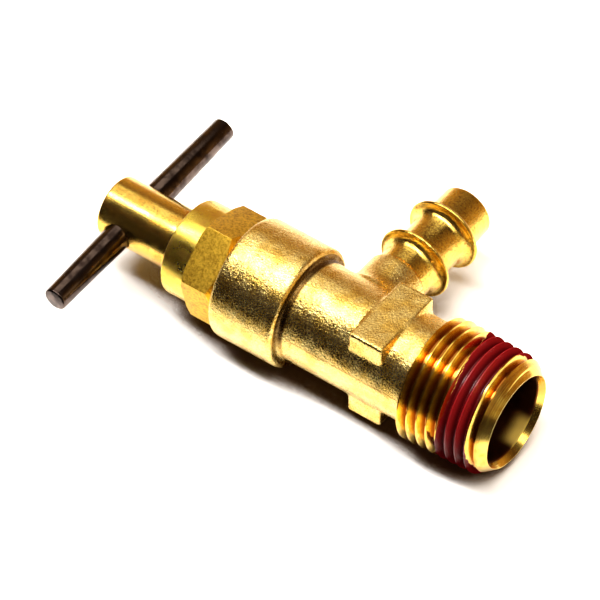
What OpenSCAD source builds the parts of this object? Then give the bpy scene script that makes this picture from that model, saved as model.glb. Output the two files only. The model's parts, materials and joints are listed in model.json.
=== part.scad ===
// Screw-down shut-off valve, lying with its spindle level.
// +X points out of the threaded inlet, +Y runs along the hose barb, +Z is up.
// The origin is the centre of the inlet mouth.
// The valve stands open: turning the T-bar clockwise closes it.

/* [Inlet thread] */
// Crest radius of the taper pipe thread at the mouth
thread_r = 10.36; // [9.9:0.02:11.2]
// Length of the taper pipe thread
thread_len = 19.8; // [16:0.2:24]
// Distance from one thread to the next
thread_pitch = 1.814; // [1.3:0.002:2.4]
// Depth of the thread form
thread_depth = 1.45; // [1.1:0.05:1.55]
// Radius of the inlet bore
inlet_r = 7.65; // [6:0.05:7.8]
// Widening of the bore at the mouth
mouth_sink = 0.6; // [0.2:0.05:0.65]
// Length of the chamfer that leads the thread in at the mouth
lead_in = 2.4; // [1.4:0.1:3]
// Length of the neck between thread and wrench boss
neck_len = 1.5; // [1:0.1:4]

/* [Cast body] */
// Radius of the body around the passages
body_r = 8.9; // [8.5:0.1:9.4]
// Distance from the inlet mouth to the axis of the hose barb
barb_to_mouth = 33; // [31:0.5:42]
// Distance from the axis of the hose barb to the shoulder
barb_to_shoulder = 7.8; // [7.2:0.1:11]
// Radius of the barrel that takes the bonnet
barrel_r = 10.8; // [10.4:0.1:12.5]
// Length of the barrel
barrel_len = 12.7; // [11:0.1:18]
// Rounding of the barrel's cast edges
barrel_round = 0.8; // [0.3:0.1:1.2]
// Inside radius of the barrel at the bonnet's thread
barrel_bore_r = 7.9; // [7.75:0.05:8.1]
// Length of the wrench boss along the body
boss_len = 6.5; // [4:0.1:9]
// Width of the wrench boss across its two flats
boss_flats = 18.1; // [17.9:0.1:20]
// Width of each flat across the body
boss_w = 14.4; // [11:0.1:15]
// Corner rounding of the wrench boss
boss_round = 0.4; // [0.2:0.1:0.9]

/* [Hose barb] */
// Radius of the turned barb between its ridges
barb_r = 4.9; // [4.6:0.1:5.3]
// Radius over the ridges
ridge_r = 6.75; // [6.2:0.05:7.4]
// Distance from the valve axis to the first ridge
ridge_1_y = 18.8; // [18:0.1:21]
// Distance between the two ridges
ridge_pitch = 8.1; // [5:0.1:11]
// Length of the plain tip beyond the second ridge
tip_len = 6.9; // [4:0.1:10]
// Length of a ridge's hollow slope on the body side
ridge_slope = 2.4; // [1.5:0.1:2.8]
// Length of a ridge's steep front
ridge_front = 0.8; // [0.4:0.1:1.2]
// Edge rounding of a ridge
ridge_round = 0.4; // [0.2:0.05:0.5]
// Bore radius of the hose barb
barb_bore_r = 3.6; // [2.8:0.1:3.8]
// Radius of the cast root of the barb
root_r = 5.6; // [5.4:0.1:6.2]
// Distance from the valve axis to the end of the cast root
root_y = 13.7; // [12.5:0.1:14.5]
// Length of the fillet where the root springs from the body
root_fillet = 3.2; // [1.5:0.1:3.6]

/* [Seat] */
// Distance from the axis of the hose barb to the seat
seat_x = 5; // [4.6:0.1:5.6]
// Radius of the hole through the seat
seat_hole_r = 4.75; // [4:0.05:4.9]
// Width of the raised seat land
seat_land = 1.1; // [0.8:0.05:1.2]
// Height of the seat land above the chamber floor
seat_h = 0.8; // [0.4:0.1:1.2]
// Radius of the valve chamber
chamber_r = 7.1; // [7.05:0.05:7.4]
// Thickness of the wall between the chamber floor and the inlet bore
seat_wall = 2.8; // [2:0.1:4]

/* [Bonnet] */
// Width of the hexagon across its flats
hex_flats = 17.3; // [17:0.1:19]
// Length of the hexagon
hex_len = 6.1; // [5:0.1:9]
// How far the hexagon has come round once tightened
hex_turn = 12.5; // [0:0.5:59.5]
// Radius of the round collar
collar_r = 8.5; // [8:0.05:8.5]
// Length of the round collar
collar_len = 4.8; // [4:0.1:7]
// Thickness of the gasket under the hexagon
gasket_t = 0.4; // [0.2:0.1:1]

/* [Stem] */
// Radius of the stem's smooth shank
stem_r = 5.5; // [5.2:0.05:5.6]
// Radius of the stem's operating thread
screw_r = 6.3; // [6.1:0.05:6.4]
// Length of the stem's operating thread
screw_len = 10; // [8:0.1:11]
// How far the stem stands out of the collar when the valve is open
stem_out = 15.8; // [13:0.1:22]
// How far the stem moves between open and closed
lift = 5; // [3:0.1:5.5]

/* [T-bar] */
// Radius of the T-bar at the stem
bar_r = 2.4; // [2:0.02:2.6]
// Radius of the T-bar at its ends
bar_tip_r = 2.1; // [1.6:0.02:2.4]
// Length of the T-bar
bar_len = 46; // [36:0.5:70]
// How far the T-bar stands out more on the barb's side
bar_shift = 1.1; // [-4:0.1:4]
// Distance from the stem's outer end to the T-bar's axis
bar_inset = 4.3; // [3.8:0.1:6]
// Angle at which the T-bar stands, seen from the inlet
bar_turn = 4; // [-30:1:30]

/* [Disc and washer] */
// Radius of the rubber seat washer
washer_r = 6.2; // [6.05:0.05:6.25]
// Thickness of the rubber seat washer
washer_t = 2.5; // [1.8:0.1:3]
// Wall of the holder's rim around the washer
rim_wall = 0.5; // [0.35:0.05:0.55]
// Thickness of the holder's plate behind the washer
plate_t = 2; // [1.5:0.1:2.4]
// Radius of the washer screw's shank
screw_pin_r = 1.5; // [1:0.1:1.6]
// Radius of the washer screw's head
screw_head_r = 2.9; // [2.4:0.1:3.2]
// Radius of the button on the stem's inner end
button_r = 3; // [2.6:0.1:3.2]
// Length of the button on the stem's inner end
button_len = 2; // [1.5:0.1:2.4]

/* [Seals] */
// Thickness of an O-ring's section
ring_t = 1.4; // [1:0.1:1.5]
// Distance between the two O-rings
ring_pitch = 3; // [2.6:0.1:4]

/* [Clearances] */
// Radial clearance where a part turns or slides in its bore
running_gap = 0.05; // [0.02:0.01:0.09]
// Clearance between moving parts that do not touch
free_gap = 0.3; // [0.25:0.05:0.4]
// Clearance between parts fixed together
fixed_gap = 0.02; // [0.01:0.01:0.04]

/* [Hidden] */
$fn = 96;
arc_steps = 8;
// Overshoot of every cut and every buried end
over = 0.5;

// Places along the valve axis, counted back from the inlet mouth at x = 0
thread_x = -thread_len;
boss_x = thread_x - neck_len;
barb_x = -barb_to_mouth;
shoulder_x = barb_x - barb_to_shoulder;
barrel_x = shoulder_x - barrel_len;
chamber_end_x = shoulder_x - 1.4;
seat_face_x = barb_x + seat_x;
floor_x = seat_face_x + seat_h;
inlet_end_x = floor_x + seat_wall;
tip_y = ridge_1_y + ridge_pitch + tip_len;

// Inlet thread and mouth
thread_taper = 1 / 32;
thread_start = 0.9;
thread_flat = 0.2;
first_groove = 1.6;
mouth_r = inlet_r + mouth_sink;
mouth_len = 1.3;
mouth_land = 0.1;
drill_taper = 0.6;
shoulder_round = min(barrel_round, (barrel_r - body_r) / 2);
root_flare = 1.1;
tip_round = 0.5;

// Bonnet
hex_x = barrel_x - gasket_t;
collar_x = hex_x - hex_len;
bonnet_end_x = collar_x - collar_len;
hex_corner_r = hex_flats / 2 / cos(30);
hex_inner_face_r = hex_flats / 2 - 0.2;
hex_outer_face_r = hex_flats / 2 + 0.5;
chamfer_slope = tan(30);
bonnet_chamfer = 0.4;
spigot_r = barrel_bore_r - fixed_gap;
spigot_end_x = chamber_end_x - 0.8;
spigot_chamfer = 0.6;
gasket_w = 0.7;
ring_groove_r = stem_r + running_gap + ring_t + running_gap;
ring_groove_w = ring_t + 0.4;
ring_outer_x = bonnet_end_x + 2.2;
ring_inner_x = ring_outer_x + ring_pitch;

// Stem, with its operating thread drawn back against the bonnet
stem_bore_r = stem_r + running_gap;
screw_bore_r = screw_r + running_gap;
screw_front_x = spigot_end_x - 1.5;
screw_x = screw_front_x - screw_len;
backseat_x = screw_x - free_gap;
stem_end_x = bonnet_end_x - stem_out;
stem_chamfer = 0.6;
bar_x = stem_end_x + bar_inset;
bar_hole_r = bar_r + fixed_gap;
bar_hole_chamfer = 0.35;
bar_chamfer = 0.35;
nose_r = 4;
nose_x = screw_front_x + 1.5;
neck_r = button_r - 1;

// Disc, drawn back from the seat by the lift
washer_x = seat_face_x - lift - fixed_gap;
washer_back_x = washer_x - washer_t;
washer_proud = 0.8;
holder_r = washer_r + fixed_gap + rim_wall;
plate_x = washer_back_x - plate_t;
button_front_x = plate_x - free_gap;
button_x = button_front_x - button_len;
socket_bore_r = button_r + running_gap;
socket_r = socket_bore_r + 1.5;
lip_x = button_x - free_gap;
lip_len = 1;
head_len = 1.2;
head_chamfer = 0.5;
slot_w = 0.8;
slot_depth = 0.6;

cast_brass = [0.72, 0.55, 0.20];
turned_brass = [0.83, 0.64, 0.22];
dark_steel = [0.22, 0.19, 0.17];
black_rubber = [0.07, 0.07, 0.07];
brown_fibre = [0.33, 0.16, 0.08];

// Points of an arc about [cx, cy], with half-axes rx and ry, from angle a0 to a1
function arc(cx, cy, rx, ry, a0, a1) =
    [for (i = [0 : arc_steps])
        let (a = a0 + (a1 - a0) * i / arc_steps)
        [cx + rx * cos(a), cy + ry * sin(a)]];

// Turns a profile of [place along X, radius] points about the X axis
module turned_x(profile) {
    rotate([0, 90, 0])
        rotate_extrude()
            polygon([for (p = profile) [p[1], p[0]]]);
}

// Turns a profile of [place along Y, radius] points about the Y axis
module turned_y(profile) {
    rotate([-90, 0, 0])
        rotate_extrude()
            polygon([for (p = profile) [p[1], p[0]]]);
}

// A round rod or hole along X between two places, tapered when r1 is given
module rod_x(x0, x1, r0, r1 = undef) {
    translate([x0, 0, 0])
        rotate([0, 90, 0])
            cylinder(h = x1 - x0, r1 = r0, r2 = is_undef(r1) ? r0 : r1);
}

// A washer-shaped ring along X between two places
module ring_x(x0, x1, outer_r, inner_r) {
    difference() {
        rod_x(x0, x1, outer_r);
        rod_x(x0 - over, x1 + over, inner_r);
    }
}

// Crest radius of the taper thread at a place on the valve axis
function crest_r(x) = thread_r - x * thread_taper;

// The inlet thread, its helix drawn as turned grooves that run out in the chamfers at both ends
module inlet_thread() {
    wide_r = crest_r(thread_x) + over;
    face_r = mouth_r + mouth_land;
    start_slope = (crest_r(thread_x + thread_start) - body_r) / thread_start;
    lead_slope = (crest_r(-lead_in) - face_r) / lead_in;
    half = (thread_pitch - thread_flat) / 2;
    rotate([0, 90, 0])
        rotate_extrude()
            intersection() {
                polygon([[0, thread_x], [body_r, thread_x], [wide_r, thread_x + (wide_r - body_r) / start_slope],
                    [wide_r, -(wide_r - face_r) / lead_slope], [face_r, 0], [0, 0]]);
                polygon(concat([[0, over]],
                    [for (x = [thread_pitch - first_groove : -thread_pitch : thread_x - thread_pitch])
                        for (p = [[half, 0], [thread_flat / 2, thread_depth],
                                [-thread_flat / 2, thread_depth], [-half, 0]])
                            [crest_r(x + p[0]) - p[1], x + p[0]]],
                    [[0, thread_x - over]]));
            }
}

// The barrel, body and neck as one turned form
module cast_spine() {
    b = barrel_round;
    s = shoulder_round;
    turned_x(concat(
        [[barrel_x, 0]],
        arc(barrel_x + b, barrel_r - b, b, b, 180, 90),
        arc(shoulder_x - s, barrel_r - s, s, s, 90, 0),
        arc(shoulder_x + s, body_r + s, s, s, 180, 270),
        [[thread_x + over, body_r], [thread_x + over, 0]]));
}

// The block whose top and bottom are the two wrench flats
module wrench_boss() {
    w = boss_w / 2 - boss_round;
    h = boss_flats / 2 - boss_round;
    translate([boss_x - boss_len, 0, 0])
        rotate([90, 0, 90])
            linear_extrude(boss_len)
                polygon(concat(
                    arc(w, h, boss_round, boss_round, 0, 90),
                    arc(-w, h, boss_round, boss_round, 90, 180),
                    arc(-w, -h, boss_round, boss_round, 180, 270),
                    arc(w, -h, boss_round, boss_round, 270, 360)));
}

// Outline of one barb ridge: hollow slope, rounded crest, short steep front
function ridge(y) =
    let (crest_r = ridge_r - ridge_round, rise = crest_r - barb_r)
    concat(
        arc(y - ridge_slope, crest_r, ridge_slope - ridge_round, rise, 270, 360),
        [for (a = [-80 : 20 : 80]) [y + ridge_round * sin(a), crest_r + ridge_round * cos(a)]],
        arc(y + ridge_round + ridge_front, crest_r, ridge_front, rise, 180, 270));

// The hose barb with its cast root, turned about its own axis
module barb() {
    foot_y = body_r - 2;
    translate([barb_x, 0, 0])
        turned_y(concat(
            [[0, 0], [0, root_r + root_flare]],
            arc(foot_y + root_fillet, root_r + root_flare, root_fillet, root_flare, 180, 270),
            [[root_y, root_r], [root_y + root_r - barb_r, barb_r]],
            ridge(ridge_1_y),
            ridge(ridge_1_y + ridge_pitch),
            arc(tip_y - tip_round, barb_r - tip_round, tip_round, tip_round, 90, 0),
            [[tip_y, 0]]));
}

// The passages: mouth, inlet, seat hole, chamber, bonnet thread and barb bore
module passages() {
    rod_x(-mouth_len, over, inlet_r, mouth_r + mouth_sink * over / mouth_len);
    rod_x(inlet_end_x, over, inlet_r);
    rod_x(inlet_end_x - (inlet_r - seat_hole_r) * drill_taper, inlet_end_x, seat_hole_r, inlet_r);
    rod_x(barb_x, inlet_end_x, seat_hole_r);
    difference() {
        rod_x(chamber_end_x - over, floor_x, chamber_r);
        rod_x(seat_face_x, floor_x + over, seat_hole_r + seat_land);
    }
    rod_x(barrel_x - over, chamber_end_x, barrel_bore_r);
    translate([barb_x, 0, 0])
        rotate([-90, 0, 0])
            cylinder(h = tip_y + over, r = barb_bore_r);
}

module valve_body() {
    color(cast_brass)
        difference() {
            union() {
                cast_spine();
                inlet_thread();
                wrench_boss();
                barb();
            }
            passages();
        }
}

// The hexagon, its corners turned down at both ends
module hexagon() {
    envelope_r = hex_corner_r + over;
    intersection() {
        translate([collar_x, 0, 0])
            rotate([0, 90, 0])
                rotate([0, 0, hex_turn])
                    cylinder(h = hex_len, r = hex_corner_r, $fn = 6);
        turned_x([[collar_x, 0], [collar_x, hex_outer_face_r],
            [collar_x + (envelope_r - hex_outer_face_r) * chamfer_slope, envelope_r],
            [hex_x - (envelope_r - hex_inner_face_r) * chamfer_slope, envelope_r],
            [hex_x, hex_inner_face_r], [hex_x, 0]]);
    }
}

module bonnet() {
    color(turned_brass)
        difference() {
            union() {
                hexagon();
                turned_x([[bonnet_end_x, 0], [bonnet_end_x, collar_r - bonnet_chamfer],
                    [bonnet_end_x + bonnet_chamfer, collar_r], [collar_x + over, collar_r],
                    [collar_x + over, 0]]);
                turned_x([[hex_x - over, 0], [hex_x - over, spigot_r],
                    [spigot_end_x - spigot_chamfer, spigot_r],
                    [spigot_end_x, spigot_r - spigot_chamfer], [spigot_end_x, 0]]);
            }
            rod_x(bonnet_end_x - over, backseat_x + over, stem_bore_r);
            rod_x(backseat_x, spigot_end_x + over, screw_bore_r);
            for (x = [ring_outer_x, ring_inner_x])
                rod_x(x - ring_groove_w / 2, x + ring_groove_w / 2, ring_groove_r);
        }
}

module bonnet_gasket() {
    color(brown_fibre)
        ring_x(hex_x + fixed_gap, barrel_x - fixed_gap, barrel_bore_r + gasket_w, barrel_bore_r);
}

// One O-ring in its groove around the stem
module o_ring(x) {
    color(black_rubber)
        translate([x, 0, 0])
            rotate([0, 90, 0])
                rotate_extrude()
                    translate([stem_bore_r + ring_t / 2, 0])
                        circle(r = ring_t / 2, $fn = 32);
}

module stem_o_ring_outer() {
    o_ring(ring_outer_x);
}

module stem_o_ring_inner() {
    o_ring(ring_inner_x);
}

// Stands its children upright about the T-bar's axis
module along_bar() {
    translate([bar_x, 0, 0])
        rotate([bar_turn - 90, 0, 0])
            children();
}

// The cross hole for the T-bar, with a chamfered mouth on both sides
module bar_hole() {
    mouth = [stem_r - 3 * bar_hole_chamfer, stem_r + over];
    along_bar()
        for (side = [0, 180])
            rotate([side, 0, 0]) {
                cylinder(h = mouth[1], r = bar_hole_r);
                translate([0, 0, mouth[0]])
                    cylinder(h = mouth[1] - mouth[0], r1 = bar_hole_r, r2 = bar_hole_r + 1.5 * bar_hole_chamfer);
            }
}

module stem() {
    color(turned_brass)
        difference() {
            turned_x([[stem_end_x, 0], [stem_end_x, stem_r - stem_chamfer],
                [stem_end_x + stem_chamfer, stem_r], [screw_x, stem_r], [screw_x, screw_r],
                [screw_front_x, screw_r], [screw_front_x, nose_r], [nose_x, nose_r],
                [nose_x, neck_r], [button_x, neck_r], [button_x, button_r],
                [button_front_x, button_r], [button_front_x, 0]]);
            bar_hole();
        }
}

// The T-bar, straight where the stem holds it and tapered to both ends
module t_bar() {
    far = bar_shift + bar_len / 2;
    near = bar_shift - bar_len / 2;
    color(dark_steel)
        along_bar()
            rotate_extrude()
                polygon([[0, near], [bar_tip_r - bar_chamfer, near], [bar_tip_r, near + bar_chamfer],
                    [bar_r, -stem_r], [bar_r, stem_r],
                    [bar_tip_r, far - bar_chamfer], [bar_tip_r - bar_chamfer, far], [0, far]]);
}

// The cup that carries the washer and swivels on the stem's button
module disc_holder() {
    color(turned_brass) {
        ring_x(washer_back_x, washer_x - washer_proud, holder_r, washer_r + fixed_gap);
        ring_x(plate_x, washer_back_x, holder_r, screw_pin_r + fixed_gap);
        ring_x(lip_x, plate_x, socket_r, socket_bore_r);
        ring_x(lip_x - lip_len, lip_x, socket_r, neck_r + free_gap);
    }
}

module seat_washer() {
    color(black_rubber)
        ring_x(washer_back_x, washer_x, washer_r, screw_pin_r + fixed_gap);
}

// The slotted screw that holds the washer in its cup
module washer_screw() {
    color(turned_brass)
        difference() {
            turned_x([[plate_x, 0], [plate_x, screw_pin_r], [washer_x, screw_pin_r],
                [washer_x, screw_head_r], [washer_x + head_len - head_chamfer, screw_head_r],
                [washer_x + head_len, screw_head_r - head_chamfer], [washer_x + head_len, 0]]);
            translate([washer_x + head_len - slot_depth, -screw_head_r - over, -slot_w / 2])
                cube([slot_depth + over, 2 * (screw_head_r + over), slot_w]);
        }
}

valve_body();
bonnet();
bonnet_gasket();
stem_o_ring_outer();
stem_o_ring_inner();
stem();
t_bar();
disc_holder();
seat_washer();
washer_screw();
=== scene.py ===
"""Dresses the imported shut-off valve: cast and turned brass, sealed pipe thread, dark T-bar and studio."""
import json
import logging
import math
from dataclasses import dataclass, field
from enum import Enum

import bmesh
import bpy
from mathutils import Matrix, Vector


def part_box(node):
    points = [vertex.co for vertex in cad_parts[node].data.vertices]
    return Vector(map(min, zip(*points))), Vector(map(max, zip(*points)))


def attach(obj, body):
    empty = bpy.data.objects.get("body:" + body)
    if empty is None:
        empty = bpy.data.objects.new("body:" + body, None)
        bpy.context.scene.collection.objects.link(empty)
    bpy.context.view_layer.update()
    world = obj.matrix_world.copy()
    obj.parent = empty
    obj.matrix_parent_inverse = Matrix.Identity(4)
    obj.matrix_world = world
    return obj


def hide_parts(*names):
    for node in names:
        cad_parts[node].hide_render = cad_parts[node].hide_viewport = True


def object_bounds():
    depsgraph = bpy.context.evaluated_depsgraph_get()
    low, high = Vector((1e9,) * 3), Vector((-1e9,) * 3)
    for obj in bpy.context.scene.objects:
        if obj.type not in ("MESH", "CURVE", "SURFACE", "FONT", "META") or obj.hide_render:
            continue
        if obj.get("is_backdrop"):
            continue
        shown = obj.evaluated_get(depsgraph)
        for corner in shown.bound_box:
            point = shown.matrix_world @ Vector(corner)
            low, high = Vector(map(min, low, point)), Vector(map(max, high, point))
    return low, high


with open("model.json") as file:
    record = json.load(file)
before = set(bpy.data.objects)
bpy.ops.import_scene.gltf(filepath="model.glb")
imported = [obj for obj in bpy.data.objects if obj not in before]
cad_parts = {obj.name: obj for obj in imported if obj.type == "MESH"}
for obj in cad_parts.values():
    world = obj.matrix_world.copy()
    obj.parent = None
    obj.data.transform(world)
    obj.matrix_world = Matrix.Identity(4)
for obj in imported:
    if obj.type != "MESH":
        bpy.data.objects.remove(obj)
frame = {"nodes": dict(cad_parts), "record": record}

log = logging.getLogger("valve")
MM = 0.001
FULL_TURN = 2.0 * math.pi
Outline = list[tuple[float, float]]


class Body(Enum):
    """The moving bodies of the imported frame."""

    HOUSING = "housing"
    DISC = "disc"
    HANDLE = "handle"


class Axis(Enum):
    """Directions that a piece can be turned about."""

    X = Vector((1.0, 0.0, 0.0))
    Y = Vector((0.0, 1.0, 0.0))
    Z = Vector((0.0, 0.0, 1.0))


class Cut(Enum):
    """Ways to combine two closed meshes."""

    REMOVE = "DIFFERENCE"
    KEEP_COMMON = "INTERSECT"
    ADD = "UNION"


def mount(name: str) -> dict:
    """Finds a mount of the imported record.

    Args:
        name: The mount's name in the record.

    Returns:
        The mount's entry.
    """
    return next(entry for entry in frame["record"]["mounts"] if entry["name"] == name)


def arc(centre: tuple[float, float], radii: tuple[float, float], start: float, end: float,
        steps: int = 8) -> Outline:
    """Lays points along an arc.

    Args:
        centre: The arc's centre as (along, radius).
        radii: Half-axes of the arc as (along, radius).
        start: Angle of the first point in degrees.
        end: Angle of the last point in degrees.
        steps: Number of chords.

    Returns:
        The points as (along, radius).
    """
    angles = [math.radians(start + (end - start) * step / steps) for step in range(steps + 1)]
    return [(centre[0] + radii[0] * math.cos(a), centre[1] + radii[1] * math.sin(a)) for a in angles]


def turned(outline: Outline, axis: Axis, segments: int, centre: Vector | None = None) -> bmesh.types.BMesh:
    """Turns a closed outline about an axis.

    Args:
        outline: Points of (along, radius) in metres, the last joined to the first.
        axis: The axis to turn about.
        segments: Number of steps in the full turn.
        centre: A point on the axis, the frame's origin if left out.

    Returns:
        The closed mesh.
    """
    origin = centre or Vector()
    side = Axis.Z.value
    mesh = bmesh.new()
    verts = [mesh.verts.new(origin + axis.value * along + side * radius) for along, radius in outline]
    edges = [mesh.edges.new((a, b)) for a, b in zip(verts, verts[1:] + verts[:1])]
    bmesh.ops.spin(mesh, geom=verts + edges, cent=origin, axis=axis.value, dvec=Vector(),
                   angle=FULL_TURN, steps=segments, use_merge=True)
    bmesh.ops.remove_doubles(mesh, verts=mesh.verts, dist=1e-7)
    bmesh.ops.dissolve_degenerate(mesh, dist=1e-8, edges=mesh.edges)
    bmesh.ops.recalc_face_normals(mesh, faces=mesh.faces)
    return mesh


def as_object(name: str, mesh: bmesh.types.BMesh) -> bpy.types.Object:
    """Makes an object of a bmesh and frees the bmesh.

    Args:
        name: The object's name.
        mesh: The mesh to store.

    Returns:
        The linked object, at the origin.
    """
    data = bpy.data.meshes.new(name)
    mesh.to_mesh(data)
    mesh.free()
    piece = bpy.data.objects.new(name, data)
    bpy.context.scene.collection.objects.link(piece)
    return piece


def settle(piece: bpy.types.Object) -> None:
    """Applies a piece's modifiers to its mesh."""
    graph = bpy.context.evaluated_depsgraph_get()
    data = bpy.data.meshes.new_from_object(piece.evaluated_get(graph))
    old = piece.data
    piece.modifiers.clear()
    piece.data = data
    data.name = piece.name
    bpy.data.meshes.remove(old)


def carve(piece: bpy.types.Object, tool: bmesh.types.BMesh, way: Cut) -> None:
    """Combines a piece with a closed tool mesh, which is used up.

    Args:
        piece: The piece that is changed.
        tool: The mesh to cut with or to add.
        way: How the two are combined.
    """
    other = as_object("tool", tool)
    step = piece.modifiers.new("carve", "BOOLEAN")
    step.operation = way.value
    step.solver = "EXACT"
    step.object = other
    settle(piece)
    data = other.data
    bpy.data.objects.remove(other)
    bpy.data.meshes.remove(data)


def shade(piece: bpy.types.Object, sharp_degrees: float = 32.0) -> None:
    """Shades a piece smooth, with sharp edges past an angle.

    Args:
        piece: The piece to shade.
        sharp_degrees: Edges that turn more than this stay sharp.
    """
    piece.data.shade_smooth()
    piece.data.set_sharp_from_angle(angle=math.radians(sharp_degrees))


def ease_edges(piece: bpy.types.Object, width: float, segments: int = 2, sharp_degrees: float = 28.0) -> None:
    """Rounds the sharp edges of a piece a little, as tumbling and handling do.

    Args:
        piece: The piece to change.
        width: Width of the rounding in metres.
        segments: Faces across the rounding.
        sharp_degrees: Only edges sharper than this are rounded.
    """
    step = piece.modifiers.new("ease", "BEVEL")
    step.width = width
    step.segments = segments
    step.limit_method = "ANGLE"
    step.angle_limit = math.radians(sharp_degrees)
    step.profile = 0.5
    step.harden_normals = False
    settle(piece)


class Graph:
    """A material's node tree, built a node at a time."""

    def __init__(self, name: str) -> None:
        """Starts a material that has only its shader and output.

        Args:
            name: The material's name.
        """
        self.material = bpy.data.materials.new(name)
        self.material.use_nodes = True
        self.nodes = self.material.node_tree.nodes
        self.links = self.material.node_tree.links
        self.shader = self.nodes["Principled BSDF"]
        self.place = self.nodes.new("ShaderNodeTexCoord").outputs["Object"]

    def set(self, **values: object) -> None:
        """Sets constants on the shader's own sockets, named with underscores for spaces."""
        for name, value in values.items():
            self.shader.inputs[name.replace("_", " ")].default_value = value

    def noise(self, cell_mm: float, detail: float = 2.0, roughness: float = 0.5,
              stretch: tuple[float, float, float] = (1.0, 1.0, 1.0)) -> bpy.types.NodeSocket:
        """Adds noise on object coordinates.

        Args:
            cell_mm: Size of the noise's features in millimetres.
            detail: Octaves of finer noise.
            roughness: Strength of the finer octaves.
            stretch: How many times longer the features are along X, Y and Z.

        Returns:
            The noise's value, about 0.5 on average.
        """
        mapping = self.nodes.new("ShaderNodeMapping")
        mapping.inputs["Scale"].default_value = [1.0 / (cell_mm * MM * s) for s in stretch]
        self.links.new(self.place, mapping.inputs["Vector"])
        noise = self.nodes.new("ShaderNodeTexNoise")
        noise.inputs["Scale"].default_value = 1.0
        noise.inputs["Detail"].default_value = detail
        noise.inputs["Roughness"].default_value = roughness
        self.links.new(mapping.outputs["Vector"], noise.inputs["Vector"])
        return noise.outputs["Fac"]

    def math(self, kind: str, *values: object) -> bpy.types.NodeSocket:
        """Adds a maths node.

        Args:
            kind: The node's operation.
            values: Sockets or numbers, one for each input.

        Returns:
            The result.
        """
        node = self.nodes.new("ShaderNodeMath")
        node.operation = kind
        for socket, value in zip(node.inputs, values):
            if isinstance(value, bpy.types.NodeSocket):
                self.links.new(value, socket)
            else:
                socket.default_value = value
        return node.outputs["Value"]

    def spread(self, value: bpy.types.NodeSocket, low: float, high: float, out_low: float,
               out_high: float) -> bpy.types.NodeSocket:
        """Maps a value from one range to another, clamped.

        Args:
            value: The value to map.
            low: Start of the range read.
            high: End of the range read.
            out_low: Result at the start.
            out_high: Result at the end.

        Returns:
            The mapped value.
        """
        node = self.nodes.new("ShaderNodeMapRange")
        node.interpolation_type = "SMOOTHSTEP"
        for name, number in (("From Min", low), ("From Max", high), ("To Min", out_low),
                             ("To Max", out_high)):
            node.inputs[name].default_value = number
        self.links.new(value, node.inputs["Value"])
        return node.outputs["Result"]

    def blend(self, share: bpy.types.NodeSocket, first: object, second: object) -> bpy.types.NodeSocket:
        """Mixes two colours.

        Args:
            share: How much of the second colour shows.
            first: The first colour, as numbers or a socket.
            second: The second colour, as numbers or a socket.

        Returns:
            The mixed colour.
        """
        node = self.nodes.new("ShaderNodeMix")
        node.data_type = "RGBA"
        self.links.new(share, node.inputs["Factor"])
        sockets = [socket for socket in node.inputs if socket.type == "RGBA"]
        for socket, value in zip(sockets, (first, second)):
            if isinstance(value, bpy.types.NodeSocket):
                self.links.new(value, socket)
            else:
                socket.default_value = (*value, 1.0)
        return next(socket for socket in node.outputs if socket.type == "RGBA")

    def colour(self, value: bpy.types.NodeSocket) -> None:
        """Links the base colour."""
        self.links.new(value, self.shader.inputs["Base Color"])

    def rough(self, value: bpy.types.NodeSocket) -> None:
        """Links the roughness."""
        self.links.new(value, self.shader.inputs["Roughness"])

    def bump(self, heights: list[tuple[bpy.types.NodeSocket, float]]) -> None:
        """Adds bumps one on another and links them to the shader.

        Args:
            heights: Pairs of a height from 0 to 1 and its depth in millimetres.
        """
        normal = None
        for height, depth_mm in heights:
            node = self.nodes.new("ShaderNodeBump")
            node.inputs["Strength"].default_value = 1.0
            node.inputs["Distance"].default_value = depth_mm * MM
            self.links.new(height, node.inputs["Height"])
            if normal is not None:
                self.links.new(normal, node.inputs["Normal"])
            normal = node.outputs["Normal"]
        self.links.new(normal, self.shader.inputs["Normal"])

    def along(self, axis: str) -> bpy.types.NodeSocket:
        """Gives one object coordinate in metres."""
        node = self.nodes.new("ShaderNodeSeparateXYZ")
        self.links.new(self.place, node.inputs["Vector"])
        return node.outputs[axis]

    def radius(self) -> bpy.types.NodeSocket:
        """Gives the distance from the valve's axis in metres."""
        return self.math("SQRT", self.math("ADD", self.math("POWER", self.along("Y"), 2.0),
                                           self.math("POWER", self.along("Z"), 2.0)))


class WorldGraph(Graph):
    """A world's node tree, built a node at a time."""

    def __init__(self, name: str) -> None:
        """Starts a world that has only its background and output.

        Args:
            name: The world's name.
        """
        self.world = bpy.data.worlds.new(name)
        self.world.use_nodes = True
        self.nodes = self.world.node_tree.nodes
        self.links = self.world.node_tree.links
        self.shader = self.nodes["Background"]
        self.place = self.nodes.new("ShaderNodeTexCoord").outputs["Generated"]

    def colour(self, value: bpy.types.NodeSocket) -> None:
        """Links the background's colour."""
        self.links.new(value, self.shader.inputs["Color"])


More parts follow.
